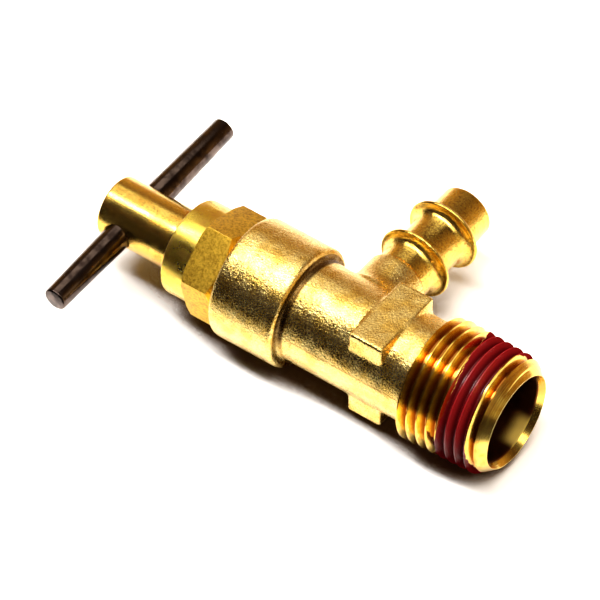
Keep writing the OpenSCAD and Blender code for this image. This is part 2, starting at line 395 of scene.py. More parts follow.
@dataclass(frozen=True)
class CastBrass:
    """Sand-cast brass, dipped bright: fine sparkling grain over soft unevenness."""

    gold: tuple[float, float, float] = (0.98, 0.74, 0.25)
    brown: tuple[float, float, float] = (0.86, 0.55, 0.11)
    dark: tuple[float, float, float] = (0.44, 0.22, 0.03)
    # Colour of the painted shade in the upper corner under the barrel's step.
    corner_shade_paint: tuple[float, float, float] = (0.075, 0.030, 0.007)
    grain_mm: float = 0.22
    grain_depth_mm: float = 0.06
    pock_mm: float = 0.38
    pock_depth_mm: float = 0.065
    speck_mm: float = 0.26
    seam_z_mm: float = 1.6
    seam_from_mm: float = -39.0
    corner_x_mm: float = -40.3
    corner_r_mm: float = 10.0

    def build(self) -> bpy.types.Material:
        """Builds the material."""
        graph = Graph("cast_brass")
        off = graph.math("ABSOLUTE", graph.math("SUBTRACT", graph.along("Z"), self.seam_z_mm * MM))
        line = graph.spread(off, 0.06 * MM, 0.2 * MM, 0.75, 0.0)
        seam = graph.math("MULTIPLY", line, graph.math("GREATER_THAN", graph.along("X"), self.seam_from_mm * MM))
        grain = graph.noise(self.grain_mm, detail=2.0, roughness=0.6)
        patch = graph.noise(2.6, detail=3.0)
        wave = graph.noise(3.5, detail=1.0)
        graph.set(Metallic=1.0)
        base = graph.blend(graph.spread(patch, 0.35, 0.7, 0.0, 1.0), self.gold, self.brown)
        speck = graph.spread(graph.noise(self.speck_mm, detail=1.0), 0.5, 0.68, 0.0, 0.55)
        pocks = graph.noise(self.pock_mm, detail=1.0)
        worn = graph.blend(graph.math("MAXIMUM", speck, seam), base, self.dark)
        graph.colour(graph.blend(self.corner(graph), worn, self.corner_shade_paint))
        graph.rough(graph.spread(grain, 0.3, 0.7, 0.34, 0.2))
        graph.bump([(wave, 0.2), (pocks, self.pock_depth_mm), (grain, self.grain_depth_mm)])
        return graph.material

    def corner(self, graph: Graph) -> bpy.types.NodeSocket:
        """Gives the share of painted shade in the upper corner under the barrel's step.

        Args:
            graph: The material's graph.

        Returns:
            A share from 0 to 1.
        """
        away = graph.math("ABSOLUTE", graph.math("SUBTRACT", graph.along("X"), self.corner_x_mm * MM))
        near = graph.spread(away, 0.35 * MM, 0.9 * MM, 0.92, 0.0)
        deep = graph.math("LESS_THAN", graph.radius(), self.corner_r_mm * MM)
        return graph.math("MULTIPLY", graph.math("MULTIPLY", near, deep),
                          graph.spread(graph.along("Z"), -4.0 * MM, 1.5 * MM, 0.0, 1.0))


@dataclass(frozen=True)
class TurnedBrass:
    """Brass from the lathe, with faint turning lines."""

    name: str = "turned_brass"
    gold: tuple[float, float, float] = (0.94, 0.65, 0.13)
    deep: tuple[float, float, float] = (0.84, 0.52, 0.08)
    stain: tuple[float, float, float] = (0.40, 0.19, 0.03)
    roughness: float = 0.26
    line_axis: str = "X"
    line_mm: float = 0.12
    line_depth_mm: float = 0.002
    grain_mm: float = 0.24
    grain_depth_mm: float = 0.0
    grain_stain: float = 0.0

    def build(self) -> bpy.types.Material:
        """Builds the material."""
        graph = Graph(self.name)
        run = 1.0
        far = 400.0
        stretch = (run, far, far) if self.line_axis == "X" else (far, run, far)
        lines = graph.noise(self.line_mm, detail=1.0, stretch=stretch)
        patch = graph.noise(2.0, detail=3.0)
        graph.set(Metallic=1.0)
        grain = graph.noise(self.grain_mm, detail=2.0, roughness=0.6)
        base = graph.blend(graph.spread(patch, 0.4, 0.75, 0.0, 1.0), self.gold, self.deep)
        stain = graph.spread(grain, 0.48, 0.68, 0.0, self.grain_stain)
        graph.colour(graph.blend(stain, base, self.stain))
        graph.rough(graph.spread(patch, 0.3, 0.7, self.roughness, self.roughness + 0.08))
        graph.bump([(lines, self.line_depth_mm), (grain, self.grain_depth_mm)])
        return graph.material


@dataclass(frozen=True)
class DrawnBrass:
    """Brass bar as drawn: dull and mottled on the flats of the hexagon."""

    gold: tuple[float, float, float] = (0.88, 0.56, 0.055)
    brown: tuple[float, float, float] = (0.44, 0.22, 0.015)

    def build(self) -> bpy.types.Material:
        """Builds the material."""
        graph = Graph("drawn_brass")
        mottle = graph.noise(0.5, detail=5.0, roughness=0.75)
        pits = graph.noise(0.25, detail=2.0)
        graph.set(Metallic=1.0)
        graph.colour(graph.blend(graph.spread(mottle, 0.35, 0.68, 0.0, 1.0), self.gold, self.brown))
        graph.rough(graph.spread(mottle, 0.3, 0.7, 0.58, 0.48))
        graph.bump([(pits, 0.02)])
        return graph.material


@dataclass(frozen=True)
class SealedThread:
    """Bright thread with a band of red sealant brushed round its middle."""

    gold: tuple[float, float, float] = (0.94, 0.65, 0.13)
    deep: tuple[float, float, float] = (0.74, 0.43, 0.06)
    # Dark wall of the bore: painted shade deep in the bore.
    bore: tuple[float, float, float] = (0.16, 0.05, 0.015)
    # Brass in the thread's grooves, darkened as painted shade.
    groove_painted_shade: tuple[float, float, float] = (0.46, 0.19, 0.03)
    sealant: tuple[float, float, float] = (0.38, 0.012, 0.014)
    # Red in the grooves and towards the bottom: painted shade.
    sealant_painted_shade: tuple[float, float, float] = (0.13, 0.003, 0.005)
    band_start_mm: float = -10.4
    start_slant: tuple[float, float] = (0.185, -0.135)
    band_end_mm: float = -2.5
    end_slant: tuple[float, float] = (-0.03, 0.12)
    skin_r_mm: float = 8.6
    bore_r_mm: float = 7.75
    ragged_mm: float = 0.14
    root_r_mm: float = 8.91
    depth_mm: float = 1.45
    taper: float = 1 / 32
    ring_mm: float = 0.24
    ring_depth_mm: float = 0.018

    def slanted(self, graph: Graph, slant: tuple[float, float],
                shift: bpy.types.NodeSocket) -> bpy.types.NodeSocket:
        """Gives the place along the thread for an edge that leans across it.

        Args:
            graph: The material's graph.
            slant: How far the edge leans for each length along Y and Z.
            shift: A wander that is added.

        Returns:
            The place in metres.
        """
        lean = graph.math("ADD", graph.math("MULTIPLY", graph.along("Y"), slant[0]),
                          graph.math("MULTIPLY", graph.along("Z"), slant[1]))
        return graph.math("ADD", graph.math("ADD", graph.along("X"), lean), shift)

    def build(self) -> bpy.types.Material:
        """Builds the material."""
        graph = Graph("sealed_thread")
        wander = graph.noise(1.4, detail=3.0)
        shift = graph.math("MULTIPLY", graph.math("SUBTRACT", wander, 0.5), self.ragged_mm * 4.0 * MM)
        radius = graph.radius()
        started = graph.math("GREATER_THAN", self.slanted(graph, self.start_slant, shift),
                             self.band_start_mm * MM)
        ended = graph.math("LESS_THAN", self.slanted(graph, self.end_slant, shift), self.band_end_mm * MM)
        outside = graph.math("GREATER_THAN", radius, self.skin_r_mm * MM)
        band = graph.math("MULTIPLY", graph.math("MULTIPLY", started, ended), outside)
        inside = graph.math("LESS_THAN", radius, self.bore_r_mm * MM)
        patch = graph.noise(1.5, detail=3.0)
        form = graph.math("ADD", radius, graph.math("MULTIPLY", graph.along("X"), self.taper))
        crest = graph.spread(form, (self.root_r_mm + 0.15 * self.depth_mm) * MM,
                             (self.root_r_mm + 0.8 * self.depth_mm) * MM, 0.0, 1.0)
        brass = graph.blend(graph.spread(patch, 0.4, 0.7, 0.0, 1.0), self.gold, self.deep)
        rim = graph.spread(graph.along("X"), -1.9 * MM, -0.9 * MM, 0.0, 1.0)
        # Grooves get painted shade, except near the mouth.
        threaded = graph.blend(graph.math("MAXIMUM", crest, rim), self.groove_painted_shade, brass)
        # A painted highlight: bright gold on the lower wall of the bore, just inside the mouth.
        low = graph.math("SUBTRACT", graph.math("MULTIPLY", graph.along("Y"), 0.48),
                         graph.math("MULTIPLY", graph.along("Z"), 0.88))
        painted_bore_highlight = graph.math("MULTIPLY", graph.spread(graph.along("X"), -4.6 * MM, -2.0 * MM, 0.0, 1.0),
                            graph.spread(low, 6.9 * MM, 7.6 * MM, 0.0, 1.0))
        bare = graph.blend(inside, threaded, graph.blend(painted_bore_highlight, self.bore, self.gold))
        # The red is lighter on the crests and towards the top and darker in the grooves and towards the bottom:
        # painted light and shade.
        red_lit_share = graph.math("MULTIPLY", crest, graph.spread(graph.along("Z"), -5.0 * MM, 3.0 * MM, 0.3, 1.0))
        red = graph.blend(red_lit_share, self.sealant_painted_shade, self.sealant)
        graph.colour(graph.blend(band, bare, red))
        # The painted highlight is made less metallic so that it shows without light reaching it.
        painted_highlight_matte = graph.math("MULTIPLY", graph.math("MULTIPLY", inside, painted_bore_highlight), 0.85)
        graph.links.new(graph.math("SUBTRACT", 1.0, graph.math("MAXIMUM", band, painted_highlight_matte)),
                        graph.shader.inputs["Metallic"])
        dull = graph.math("ADD", graph.math("MULTIPLY", band, 0.08), graph.math("MULTIPLY", inside, 0.14))
        graph.rough(graph.math("ADD", dull, 0.19))
        graph.set(Specular_IOR_Level=0.1)
        gloss = graph.math("MULTIPLY", graph.spread(graph.along("Y"), 0.0, 4.0 * MM, 0.35, 0.0),
                           graph.spread(graph.along("Z"), -4.0 * MM, 1.0 * MM, 0.0, 1.0))
        graph.links.new(gloss, graph.shader.inputs["Specular IOR Level"])
        skin = graph.noise(0.35, detail=2.0)
        rings = graph.noise(self.ring_mm, detail=1.0, stretch=(1.0, 400.0, 400.0))
        tool_marks = graph.math("MULTIPLY", graph.math("MULTIPLY", inside, painted_bore_highlight), rings)
        graph.bump([(rings, self.ring_depth_mm), (tool_marks, 0.1), (graph.math("MULTIPLY", band, skin), 0.05)])
        return graph.material


@dataclass(frozen=True)
class DarkSteel:
    """Polished dark steel rod."""

    base: tuple[float, float, float] = (0.12, 0.085, 0.070)
    stain: tuple[float, float, float] = (0.035, 0.022, 0.018)

    def build(self) -> bpy.types.Material:
        """Builds the material."""
        graph = Graph("dark_steel")
        patch = graph.noise(1.6, detail=3.0)
        scratch = graph.noise(0.1, detail=1.0, stretch=(1.0, 40.0, 1.0))
        graph.set(Metallic=1.0)
        graph.colour(graph.blend(graph.spread(patch, 0.35, 0.7, 0.0, 1.0), self.base, self.stain))
        graph.rough(graph.spread(patch, 0.3, 0.7, 0.12, 0.24))
        graph.bump([(scratch, 0.0025)])
        return graph.material


@dataclass(frozen=True)
class PlainFinish:
    """A dull finish with a little unevenness, for rubber, fibre and card."""

    name: str
    base: tuple[float, float, float]
    shade: tuple[float, float, float]
    roughness: float
    cell_mm: float

    def build(self) -> bpy.types.Material:
        """Builds the material."""
        graph = Graph(self.name)
        patch = graph.noise(self.cell_mm, detail=2.0)
        graph.set(Roughness=self.roughness)
        graph.colour(graph.blend(graph.spread(patch, 0.3, 0.7, 0.0, 1.0), self.base, self.shade))
        return graph.material


@dataclass(frozen=True)
class Room:
    """The room round the table: dark on the camera's side, warm walls behind and before the mouth."""

    dark: tuple[float, float, float] = (0.030, 0.010, 0.004)
    warm: tuple[float, float, float] = (0.70, 0.39, 0.13)
    front: tuple[float, float, float] = (0.90, 0.70, 0.40)

    def build(self) -> bpy.types.World:
        """Builds the world.

        Returns:
            The world, with its colour set by direction.
        """
        graph = WorldGraph("room")
        behind = graph.spread(graph.along("Y"), -0.15, 0.5, 0.0, 1.0)
        low = graph.spread(graph.along("Z"), 0.0, 0.9, 1.0, 0.05)
        round_it = graph.blend(graph.math("MULTIPLY", behind, low), self.dark, self.warm)
        graph.colour(graph.blend(graph.spread(graph.along("X"), 0.8, 0.99, 0.0, 1.0), round_it, self.front))
        return graph.world


def dress(piece: bpy.types.Object, *materials: bpy.types.Material) -> None:
    """Gives a piece its materials in place of those it has.

    Args:
        piece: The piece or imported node.
        materials: One material for each of the piece's slots.
    """
    piece.data.materials.clear()
    for material in materials:
        piece.data.materials.append(material)


def hand_over(piece: bpy.types.Object, body: Body, slot: str, *nodes: str) -> None:
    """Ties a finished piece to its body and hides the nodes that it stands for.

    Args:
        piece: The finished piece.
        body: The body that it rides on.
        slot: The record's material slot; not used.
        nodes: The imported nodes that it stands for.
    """
    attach(piece, body.value)
    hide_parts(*nodes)
    log.info("%s: %d faces, on %s, for %s", piece.name, len(piece.data.polygons), body.value, ", ".join(nodes))


@dataclass
class ValveBody:
    """The one-piece body: casting, turned hose barb and inlet thread."""

    barb_x: float = mount("hose_barb")["pos_m"][0]
    inlet_r: float = mount("inlet_bore")["dims"]["r_mm"] * MM
    barb_r: float = mount("hose_barb")["dims"]["r_mm"] * MM
    tip_y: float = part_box("valve_body")[1][1]
    barrel_x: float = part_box("valve_body")[0][0]
    thread_r: float = 10.36 * MM
    thread_len: float = 17.0 * MM
    thread_depth: float = 1.45 * MM
    thread_pitch: float = 25.4 / 14 * MM
    thread_taper: float = 1 / 32
    lead_in: float = 2.4 * MM
    mouth_r: float = 8.25 * MM
    mouth_len: float = 1.3 * MM
    mouth_land: float = 0.1 * MM
    body_r: float = 8.9 * MM
    barrel_r: float = 10.8 * MM
    shoulder_x: float = -40.8 * MM
    boss_x: tuple[float, float] = (-27.8 * MM, -21.3 * MM)
    boss_w: float = 14.4 * MM
    boss_h: float = 18.1 * MM
    root_r: float = 5.6 * MM
    root_y: float = 13.7 * MM
    ridge_r: float = 6.75 * MM
    ridges_y: tuple[float, ...] = (18.8 * MM, 26.9 * MM)
    ridge_slope: float = 2.4 * MM
    ridge_front: float = 0.8 * MM
    ridge_round: float = 0.4 * MM
    barb_bore_r: float = 3.6 * MM
    chamber_r: float = 7.1 * MM
    chamber_x: float = -42.2 * MM
    barrel_bore_r: float = 7.9 * MM
    seat_hole_r: float = 4.75 * MM
    seat_land_r: float = 5.85 * MM
    seat_x: float = -28.0 * MM
    floor_x: float = -27.2 * MM
    inlet_end_x: float = -24.4 * MM
    over: float = 0.5 * MM
    grain: float = 0.24 * MM
    pieces: list[bpy.types.Object] = field(default_factory=list)

    def spine(self) -> bmesh.types.BMesh:
        """Turns the barrel, the round body and the neck."""
        edge = 0.8 * MM
        outline = [(self.barrel_x, 0.0), *arc((self.barrel_x + edge, self.barrel_r - edge), (edge, edge), 180, 90),
                   *arc((self.shoulder_x - edge, self.barrel_r - edge), (edge, edge), 90, 0),
                   (self.shoulder_x, self.body_r), (-self.thread_len + 0.3 * MM, self.body_r),
                   (-self.thread_len + 0.3 * MM, 0.0)]
        return turned(outline, Axis.X, 160)

    def boss(self) -> bmesh.types.BMesh:
        """Makes the block with the two wrench flats."""
        mesh = bmesh.new()
        length = self.boss_x[1] - self.boss_x[0]
        centre = Matrix.Translation(((self.boss_x[0] + self.boss_x[1]) / 2, 0.0, 0.0))
        bmesh.ops.create_cube(mesh, size=1.0, matrix=centre @ Matrix.Diagonal(
            (length, self.boss_w, self.boss_h, 1.0)))
        bmesh.ops.bevel(mesh, geom=mesh.edges, offset=0.25 * MM, offset_type="OFFSET", segments=2,
                        profile=0.5, affect="EDGES", material=-1)
        return mesh

    def root(self) -> bmesh.types.BMesh:
        """Turns the cast root of the barb, flared where it springs from the body."""
        flare = 1.1 * MM
        foot = self.body_r - 2.0 * MM
        outline = [(0.0, 0.0), (0.0, self.root_r + flare),
                   *arc((foot + 3.2 * MM, self.root_r + flare), (3.2 * MM, flare), 180, 270),
                   (self.root_y, self.root_r), (self.root_y, 0.0)]
        return turned(outline, Axis.Y, 96, Vector((self.barb_x, 0.0, 0.0)))

    def passages(self) -> bmesh.types.BMesh:
        """Turns the hollow along the valve's axis as one tool."""
        drill = 0.6
        outline = [(self.barrel_x - self.over, 0.0), (self.barrel_x - self.over, self.barrel_bore_r),
                   (self.chamber_x, self.barrel_bore_r), (self.chamber_x, self.chamber_r),
                   (self.floor_x, self.chamber_r), (self.floor_x, self.seat_land_r),
                   (self.seat_x, self.seat_land_r), (self.seat_x, self.seat_hole_r),
                   (self.inlet_end_x - (self.inlet_r - self.seat_hole_r) * drill, self.seat_hole_r),
                   (self.inlet_end_x, self.inlet_r), (self.over, self.inlet_r), (self.over, 0.0)]
        return turned(outline, Axis.X, 96)

    def barb_hole(self) -> bmesh.types.BMesh:
        """Turns the drill for the barb's bore."""
        outline = [(0.0, 0.0), (0.0, self.barb_bore_r), (self.tip_y + self.over, self.barb_bore_r),
                   (self.tip_y + self.over, 0.0)]
        return turned(outline, Axis.Y, 64, Vector((self.barb_x, 0.0, 0.0)))

    def build_casting(self) -> bpy.types.Object:
        """Fuses spine, boss and root with the soft fillets of a casting, then bores it.

        Returns:
            The casting.
        """
        whole = bmesh.new()
        for part in (self.spine(), self.boss(), self.root()):
            data = bpy.data.meshes.new("part")
            part.to_mesh(data)
            part.free()
            whole.from_mesh(data)
            bpy.data.meshes.remove(data)
        piece = as_object("body_casting", whole)
        fuse = piece.modifiers.new("fuse", "REMESH")
        fuse.mode = "VOXEL"
        fuse.voxel_size = self.grain
        soften = piece.modifiers.new("soften", "SMOOTH")
        soften.factor = 0.5
        soften.iterations = 6
        settle(piece)
        carve(piece, self.passages(), Cut.REMOVE)
        carve(piece, self.barb_hole(), Cut.REMOVE)
        shade(piece, 40.0)
        return piece

    def ridge(self, y: float) -> Outline:
        """Outlines one ridge: hollow slope, rounded crest, short steep front.

        Args:
            y: Place of the crest along the barb.

        Returns:
            The points from the body side to the tip side.
        """
        crest = self.ridge_r - self.ridge_round
        rise = crest - self.barb_r
        around = [math.radians(a) for a in range(-80, 81, 16)]
        return [*arc((y - self.ridge_slope, crest), (self.ridge_slope - self.ridge_round, rise), 270, 360, 12),
                *[(y + self.ridge_round * math.sin(a), crest + self.ridge_round * math.cos(a)) for a in around],
                *arc((y + self.ridge_round + self.ridge_front, crest), (self.ridge_front, rise), 180, 270)]

    def build_barb(self) -> bpy.types.Object:
        """Turns the hose barb with its two ridges and its bore.

        Returns:
            The barb.
        """
        start = self.root_y - 0.6 * MM
        tip = 0.5 * MM
        outline = [(start, self.barb_bore_r), (start, self.root_r - 0.5 * MM), (self.root_y, self.root_r - 0.12 * MM),
                   (self.root_y + self.root_r - self.barb_r, self.barb_r)]
        for y in self.ridges_y:
            outline += self.ridge(y)
        outline += [*arc((self.tip_y - tip, self.barb_r - tip), (tip, tip), 90, 0, 5),
                    (self.tip_y, self.barb_bore_r + 0.25 * MM), (self.tip_y - 0.25 * MM, self.barb_bore_r)]
        piece = as_object("hose_barb", turned(outline, Axis.Y, 144, Vector((self.barb_x, 0.0, 0.0))))
        shade(piece, 34.0)
        return piece

    def thread_form(self) -> bmesh.types.BMesh:
        """Screws the thread's profile along the axis and closes it as a solid rod.

        Returns:
            A closed rod, threaded past both ends of the finished thread.
        """
        mesh = bmesh.new()
        start = -self.thread_len - 2.0 * self.thread_pitch
        root = self.thread_r - self.thread_depth
        flat = 0.09 * self.thread_pitch
        half = self.thread_pitch / 2
        form = [(0.0, root), (flat / 2, root), (half - flat / 2, self.thread_r), (half + flat / 2, self.thread_r),
                (self.thread_pitch - flat / 2, root), (self.thread_pitch, root)]
        verts = [mesh.verts.new((start + along, 0.0, radius)) for along, radius in form]
        edges = [mesh.edges.new(pair) for pair in zip(verts, verts[1:])]
        turns = round(self.thread_len / self.thread_pitch) + 4
        bmesh.ops.spin(mesh, geom=verts + edges, cent=Vector(), axis=Axis.X.value,
                       dvec=Axis.X.value * (self.thread_pitch / 120), angle=FULL_TURN * turns, steps=120 * turns)
        bmesh.ops.remove_doubles(mesh, verts=mesh.verts, dist=2e-6)
        for vert in mesh.verts:
            out = Vector((0.0, vert.co.y, vert.co.z))
            vert.co += out.normalized() * (-vert.co.x * self.thread_taper)
        for x, clear_outer in ((-self.thread_len - 0.8 * self.thread_pitch, False), (1.2 * self.thread_pitch, True)):
            cut = bmesh.ops.bisect_plane(mesh, geom=[*mesh.verts, *mesh.edges, *mesh.faces], dist=1e-8,
                                         plane_co=(x, 0.0, 0.0), plane_no=Axis.X.value,
                                         clear_outer=clear_outer, clear_inner=not clear_outer)
            rim = [part for part in cut["geom_cut"] if isinstance(part, bmesh.types.BMEdge)]
            bmesh.ops.edgeloop_fill(mesh, edges=rim)
        bmesh.ops.recalc_face_normals(mesh, faces=mesh.faces)
        return mesh

    def build_thread(self) -> bpy.types.Object:
        """Cuts the threaded rod to its chamfered ends and bores it.

        Returns:
            The threaded end.
        """
        reach = 0.3 * MM
        base = self.thread_r + self.thread_len * self.thread_taper + reach
        face = self.mouth_r + self.mouth_land
        slope = (self.thread_r + self.lead_in * self.thread_taper - face) / self.lead_in
        outline = [(-self.thread_len, self.inlet_r), (-self.thread_len, self.body_r - 0.3 * MM),
                   (-self.thread_len + 1.2 * MM, base), ((face - base) / slope, base),
                   (0.0, face), (0.0, self.mouth_r), (-self.mouth_len, self.inlet_r)]
        piece = as_object("inlet_thread", self.thread_form())
        carve(piece, turned(outline, Axis.X, 160), Cut.KEEP_COMMON)
        shade(piece, 15.0)
        return piece

    def build(self) -> None:
        """Builds the body's pieces and dresses them."""
        casting = self.build_casting()
        dress(casting, CastBrass().build())
        barb = self.build_barb()
        dress(barb, TurnedBrass("turned_barb", stain=(0.24, 0.10, 0.015), roughness=0.18, line_axis="Y",
                                grain_mm=0.3, grain_depth_mm=0.036, grain_stain=0.75).build())
        thread = self.build_thread()
        dress(thread, SealedThread().build())
        for piece in (casting, barb, thread):
            hand_over(piece, Body.HOUSING, "cast_brass", "valve_body")
            self.pieces.append(piece)


@dataclass
class Bonnet:
    """The hexagon, its collar and its spigot."""

    end_x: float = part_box("bonnet")[0][0]
    spigot_end_x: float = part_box("bonnet")[1][0]
    hex_x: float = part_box("bonnet_gasket")[0][0] - 0.02 * MM
    hex_flats: float = 17.3 * MM
    hex_len: float = 6.1 * MM
    hex_turn: float = 12.5
    collar_r: float = 8.5 * MM
    spigot_r: float = 7.88 * MM
    stem_bore_r: float = 5.55 * MM
    screw_bore_r: float = 6.35 * MM
    backseat_x: float = -54.8 * MM
    inner_face_cut: float = 0.2 * MM
    outer_face_gain: float = 0.5 * MM

    def hexagon(self) -> bpy.types.Object:
        """Cuts the hexagon from a six-sided bar, its corners turned down at both ends.

        Returns:
            The solid hexagon.
        """
        corner = self.hex_flats / 2 / math.cos(math.pi / 6)
        outer_x = self.hex_x - self.hex_len
        bar = bmesh.new()
        stand = (Matrix.Translation(((outer_x + self.hex_x) / 2, 0.0, 0.0))
                 @ Matrix.Rotation(math.radians(90.0), 4, "Y")
                 @ Matrix.Rotation(math.radians(self.hex_turn + 90.0), 4, "Z"))
        bmesh.ops.create_cone(bar, cap_ends=True, segments=6, radius1=corner, radius2=corner,
                              depth=self.hex_len, matrix=stand)
        piece = as_object("bonnet_hexagon", bar)
        wide = corner + 0.5 * MM
        inner = self.hex_flats / 2 - self.inner_face_cut
        outer = self.hex_flats / 2 + self.outer_face_gain
        slope = math.tan(math.radians(30.0))
        envelope = [(outer_x, 0.0), (outer_x, outer), (outer_x + (wide - outer) * slope, wide),
                    (self.hex_x - (wide - inner) * slope, wide), (self.hex_x, inner), (self.hex_x, 0.0)]
        carve(piece, turned(envelope, Axis.X, 180), Cut.KEEP_COMMON)
        return piece

    def build(self) -> None:
        """Builds and dresses the bonnet."""
        piece = self.hexagon()
        outer_x = self.hex_x - self.hex_len
        over = 0.5 * MM
        edge = 0.3 * MM
        collar = [(self.end_x, 0.0), (self.end_x, self.collar_r - edge),
                  *arc((self.end_x + edge, self.collar_r - edge), (edge, edge), 180, 90, 3),
                  (outer_x + over, self.collar_r), (outer_x + over, 0.0)]
        spigot = [(self.hex_x - over, 0.0), (self.hex_x - over, self.spigot_r),
                  (self.spigot_end_x, self.spigot_r), (self.spigot_end_x, 0.0)]
        bore = [(self.end_x - over, 0.0), (self.end_x - over, self.stem_bore_r),
                (self.backseat_x, self.stem_bore_r), (self.backseat_x, self.screw_bore_r),
                (self.spigot_end_x + over, self.screw_bore_r), (self.spigot_end_x + over, 0.0)]
        carve(piece, turned(collar, Axis.X, 180), Cut.ADD)
        carve(piece, turned(spigot, Axis.X, 180), Cut.ADD)
        carve(piece, turned(bore, Axis.X, 180), Cut.REMOVE)
        ease_edges(piece, 0.20 * MM)
        collar = TurnedBrass("turned_bonnet", gold=(0.96, 0.70, 0.10), stain=(0.42, 0.20, 0.02), roughness=0.26,
                             grain_depth_mm=0.008, grain_stain=0.22)
        dress(piece, collar.build(), DrawnBrass().build())
        self.mark_flats(piece)
        shade(piece)
        hand_over(piece, Body.HOUSING, "turned_brass", "bonnet")

    def mark_flats(self, piece: bpy.types.Object) -> None:
        """Gives the six flats the finish of drawn bar.

        Args:
            piece: The bonnet.
        """
        apothem = self.hex_flats / 2
        for face in piece.data.polygons:
            level = abs(face.normal.x) < 0.02
            reach = face.center.y * face.normal.y + face.center.z * face.normal.z
            outer = self.hex_x - self.hex_len < face.center.x < self.hex_x
            if level and outer and abs(reach - apothem) < 0.01 * MM:
                face.material_index = 1


@dataclass
class Spindle:
    """The smooth stem with its cross hole, and the T-bar through it."""

    end_x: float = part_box("stem")[0][0]
    front_x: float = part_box("stem")[1][0]
    stem_r: float = 5.5 * MM
    screw_r: float = 6.3 * MM
    screw_x: float = -54.5 * MM
    screw_front_x: float = -44.5 * MM
    bar_x: float = (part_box("t_bar")[0][0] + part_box("t_bar")[1][0]) / 2
    bar_r: float = (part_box("t_bar")[1][0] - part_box("t_bar")[0][0]) / 2
    bar_tip_r: float = 2.1 * MM
    bar_len: float = 46.0 * MM
    bar_shift: float = 1.1 * MM
    bar_turn: float = 4.0

    def bar_frame(self) -> Matrix:
        """Gives the turn and place that stand the Y axis along the T-bar."""
        return (Matrix.Translation((self.bar_x, 0.0, 0.0))
                @ Matrix.Rotation(math.radians(self.bar_turn), 4, "X"))

    def rod(self, outline: Outline, segments: int) -> bmesh.types.BMesh:
        """Turns an outline about the T-bar's axis.

        Args:
            outline: Points of (along, radius).
            segments: Steps in the full turn.

        Returns:
            The closed mesh in its place.
        """
        mesh = turned(outline, Axis.Y, segments)
        bmesh.ops.transform(mesh, matrix=self.bar_frame(), verts=mesh.verts)
        return mesh

    def build_stem(self) -> None:
        """Builds and dresses the stem."""
        edge = 0.45 * MM
        neck = 2.0 * MM
        button = 3.0 * MM
        nose_x = self.screw_front_x + 1.5 * MM
        button_x = self.front_x - 2.0 * MM
        outline = [(self.end_x, 0.0), *arc((self.end_x + edge, self.stem_r - edge), (edge, edge), 180, 90, 6),
                   (self.screw_x, self.stem_r), (self.screw_x, self.screw_r),
                   (self.screw_front_x, self.screw_r), (self.screw_front_x, 4.0 * MM), (nose_x, 4.0 * MM),
                   (nose_x, neck), (button_x, neck), (button_x, button), (self.front_x, button),
                   (self.front_x, 0.0)]
        piece = as_object("spindle", turned(outline, Axis.X, 192))
        hole = self.bar_r + 0.02 * MM
        flare = 0.28 * MM
        deep = self.stem_r + 2.0 * MM
        drill = [(-deep, 0.0), (-deep, hole + flare + 2.0 * MM), (-self.stem_r + flare, hole),
                 (self.stem_r - flare, hole), (deep, hole + flare + 2.0 * MM), (deep, 0.0)]
        carve(piece, self.rod(drill, 96), Cut.REMOVE)
        shade(piece)
        dress(piece, TurnedBrass("turned_stem", deep=(0.82, 0.44, 0.06), stain=(0.20, 0.075, 0.010),
                                 roughness=0.19, grain_depth_mm=0.010, grain_stain=0.6).build())
        hand_over(piece, Body.HANDLE, "turned_brass", "stem")

    def build_bar(self) -> None:
        """Builds and dresses the T-bar."""
        near, far = self.bar_shift - self.bar_len / 2, self.bar_shift + self.bar_len / 2
        edge = 0.3 * MM
        rim = self.bar_tip_r - edge
        outline = [(near, 0.0), *arc((near + edge, rim), (edge, edge), 180, 90, 4),
                   (-self.stem_r, self.bar_r), (self.stem_r, self.bar_r),
                   *arc((far - edge, rim), (edge, edge), 90, 0, 4), (far, 0.0)]
        piece = as_object("tommy_bar", self.rod(outline, 96))
        shade(piece)
        dress(piece, DarkSteel().build())
        hand_over(piece, Body.HANDLE, "dark_steel", "t_bar")

    def build(self) -> None:
        """Builds the stem and the T-bar."""
        self.build_stem()
        self.build_bar()


@dataclass
class InnerParts:
    """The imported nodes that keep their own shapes: gasket, O-rings, disc, washer and screw."""

    rubber: PlainFinish = PlainFinish("black_rubber", (0.015, 0.015, 0.016), (0.03, 0.03, 0.03), 0.55, 0.8)
    fibre: PlainFinish = PlainFinish("brown_fibre", (0.06, 0.025, 0.012), (0.03, 0.012, 0.006), 0.8, 0.4)

    def build(self) -> None:
        """Dresses the nodes."""
        rubber = self.rubber.build()
        fibre = self.fibre.build()
        brass = TurnedBrass("turned_disc").build()
        finishes = {"bonnet_gasket": fibre, "stem_o_ring_outer": rubber, "stem_o_ring_inner": rubber,
                    "seat_washer": rubber, "disc_holder": brass, "washer_screw": brass}
        for name, material in finishes.items():
            dress(frame["nodes"][name], material)
            log.info("%s: dressed as %s", name, material.name)


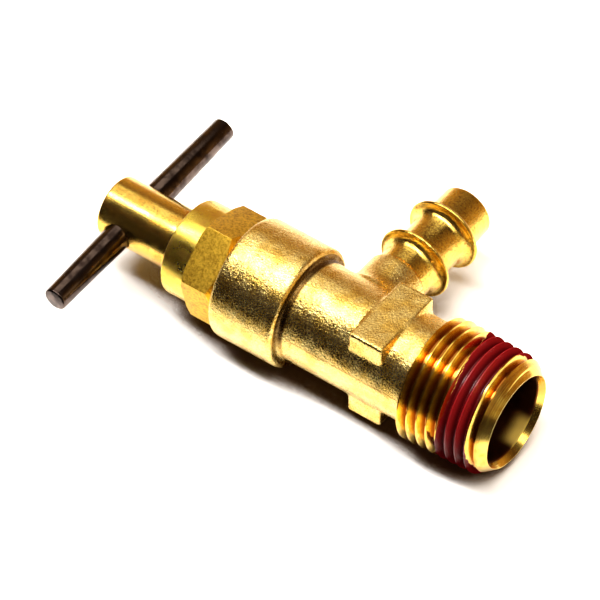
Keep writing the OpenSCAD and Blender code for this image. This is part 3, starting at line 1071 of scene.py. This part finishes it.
@dataclass
class Studio:
    """Floor, lights, world and the camera at the photograph's angle."""

    aim: Vector = field(default_factory=lambda: Vector((mount("hose_barb")["pos_m"][0], 0.0, 0.0)))
    azimuth: float = 36.5
    elevation: float = 47.0
    distance: float = 0.6
    focal_px: float = 3714.0
    frame_px: float = 600.0
    aim_px: tuple[float, float] = (347.6, 330.7)
    sensor_mm: float = 36.0
    paper: tuple[float, float, float] = (0.30, 0.30, 0.30)
    paper_shade: tuple[float, float, float] = (0.26, 0.26, 0.26)
    paper_shown: tuple[float, float, float] = (1.9, 1.9, 1.9)
    # Colour of the painted contact shadow on the paper near the valve.
    painted_contact_shadow: tuple[float, float, float] = (0.25, 0.17, 0.13)
    nook_reach: float = 60.0 * MM
    nook_open: tuple[float, float] = (0.36, 0.49)
    flag_y: float = -30.0 * MM
    flag_w: float = 400.0 * MM
    flag_h: float = 30.0 * MM

    def place_camera(self) -> None:
        """Places the camera so that the aim point lands on its pixel, with no shift."""
        az, el = math.radians(self.azimuth), math.radians(self.elevation)
        look = Vector((-math.sin(az) * math.cos(el), math.cos(az) * math.cos(el), -math.sin(el)))
        right = look.cross(Axis.Z.value).normalized()
        up = right.cross(look)
        per_px = self.distance / self.focal_px
        aside = (self.aim_px[0] - self.frame_px / 2) * per_px
        below = (self.aim_px[1] - self.frame_px / 2) * per_px
        data = bpy.data.cameras.new("camera")
        data.sensor_width = self.sensor_mm
        data.lens = self.focal_px / self.frame_px * self.sensor_mm
        data.clip_start = 0.01
        camera = bpy.data.objects.new("camera", data)
        camera.location = self.aim - look * self.distance - right * aside + up * below
        camera.rotation_euler = look.to_track_quat("-Z", "Y").to_euler()
        bpy.context.scene.collection.objects.link(camera)
        bpy.context.scene.camera = camera

    def lay_floor(self) -> None:
        """Lays the pale floor under the lowest point."""
        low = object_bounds()[0][2]
        mesh = bmesh.new()
        bmesh.ops.create_grid(mesh, x_segments=1, y_segments=1, size=3.0,
                              matrix=Matrix.Translation((0.0, 0.0, low)))
        floor = as_object("floor", mesh)
        dress(floor, self.white_paper())
        floor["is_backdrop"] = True

    def white_paper(self) -> bpy.types.Material:
        """Makes the paper, shown lighter to the eye and to mirrors than it lights the valve, with a painted contact
        shadow where little open sky reaches it.

        Returns:
            The paper's material.
        """
        graph = Graph("white_floor")
        nodes, links = graph.nodes, graph.links
        path = nodes.new("ShaderNodeLightPath")
        seen = graph.math("MAXIMUM", graph.math("MAXIMUM", path.outputs["Is Camera Ray"],
                                                path.outputs["Is Glossy Ray"]),
                          path.outputs["Is Transmission Ray"])
        seen = graph.math("MULTIPLY", seen, graph.math("LESS_THAN", path.outputs["Diffuse Depth"], 0.5))
        patch = graph.spread(graph.noise(40.0, detail=2.0), 0.3, 0.7, 0.0, 0.02)
        plain, shown = nodes.new("ShaderNodeBsdfDiffuse"), nodes.new("ShaderNodeBsdfDiffuse")
        links.new(graph.blend(patch, self.paper, self.paper_shade), plain.inputs["Color"])
        # Painted shadow: the paper darkens where the ambient occlusion finds little open sky near the valve.
        open_sky = nodes.new("ShaderNodeAmbientOcclusion")
        open_sky.inputs["Distance"].default_value = self.nook_reach
        contact_shadow_share = graph.spread(open_sky.outputs["AO"], *self.nook_open, 0.0, 1.0)
        links.new(graph.blend(contact_shadow_share, self.painted_contact_shadow, self.paper_shown), shown.inputs["Color"])
        mix = nodes.new("ShaderNodeMixShader")
        links.new(seen, mix.inputs["Fac"])
        links.new(plain.outputs["BSDF"], mix.inputs[1])
        links.new(shown.outputs["BSDF"], mix.inputs[2])
        links.new(mix.outputs["Shader"], nodes["Material Output"].inputs["Surface"])
        return graph.material

    def hang_lamp(self, name: str, toward: tuple[float, float, float], distance: float,
                  size: tuple[float, float], watts: float, colour: tuple[float, float, float]) -> None:
        """Hangs a soft box that faces the valve.

        Args:
            name: The lamp's name.
            toward: Direction from the valve to the lamp.
            distance: How far away the lamp hangs.
            size: Length of the box along the valve and width across it.
            watts: Its power.
            colour: Its colour.
        """
        data = bpy.data.lights.new(name, "AREA")
        data.shape = "RECTANGLE"
        data.size, data.size_y = size
        data.energy = watts
        data.color = colour
        lamp = bpy.data.objects.new(name, data)
        direction = Vector(toward).normalized()
        across = direction.cross(Axis.X.value).normalized()
        along = across.cross(direction)
        lamp.location = self.aim + direction * distance
        lamp.rotation_euler = Matrix((along, across, direction)).transposed().to_euler()
        bpy.context.scene.collection.objects.link(lamp)

    def stand_flag(self) -> None:
        """Stands a dark card before the valve, which only mirrors see: a painted dark reflection in the metal."""
        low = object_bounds()[0][2]
        mesh = bmesh.new()
        stand = (Matrix.Translation((self.aim.x, self.flag_y, low + self.flag_h / 2))
                 @ Matrix.Rotation(math.radians(90.0), 4, "X"))
        bmesh.ops.create_grid(mesh, x_segments=1, y_segments=1, size=0.5,
                              matrix=stand @ Matrix.Diagonal((self.flag_w, self.flag_h, 1.0, 1.0)))
        flag = as_object("front_flag", mesh)
        dress(flag, PlainFinish("dark_card", (0.012, 0.006, 0.004), (0.008, 0.004, 0.003), 0.95, 20.0).build())
        flag.visible_camera = flag.visible_shadow = flag.visible_diffuse = False
        flag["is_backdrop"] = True

    def light(self) -> None:
        """Hangs the lamps and dims the room."""
        self.hang_lamp("key", (-0.16, -0.19, 0.95), 0.7, (0.95, 0.12), 6.0, (1.0, 0.98, 0.95))
        self.hang_lamp("glow", (-0.30, 0.30, 0.90), 0.7, (0.60, 0.40), 1.0, (1.0, 0.93, 0.80))
        self.hang_lamp("side", (0.55, -0.14, 0.82), 0.7, (0.40, 0.22), 0.8, (1.0, 0.93, 0.80))
        self.stand_flag()
        bpy.context.scene.world = Room().build()

    def build(self) -> None:
        """Builds the studio."""
        self.place_camera()
        self.lay_floor()
        self.light()
        bpy.context.scene.view_settings.view_transform = "Standard"


def main() -> None:
    """Builds the dressed valve and its studio."""
    logging.basicConfig(level=logging.INFO, format="%(name)s: %(message)s")
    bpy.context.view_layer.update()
    for part in (ValveBody(), Bonnet(), Spindle(), InnerParts(), Studio()):
        part.build()


if __name__ == "__main__":
    main()
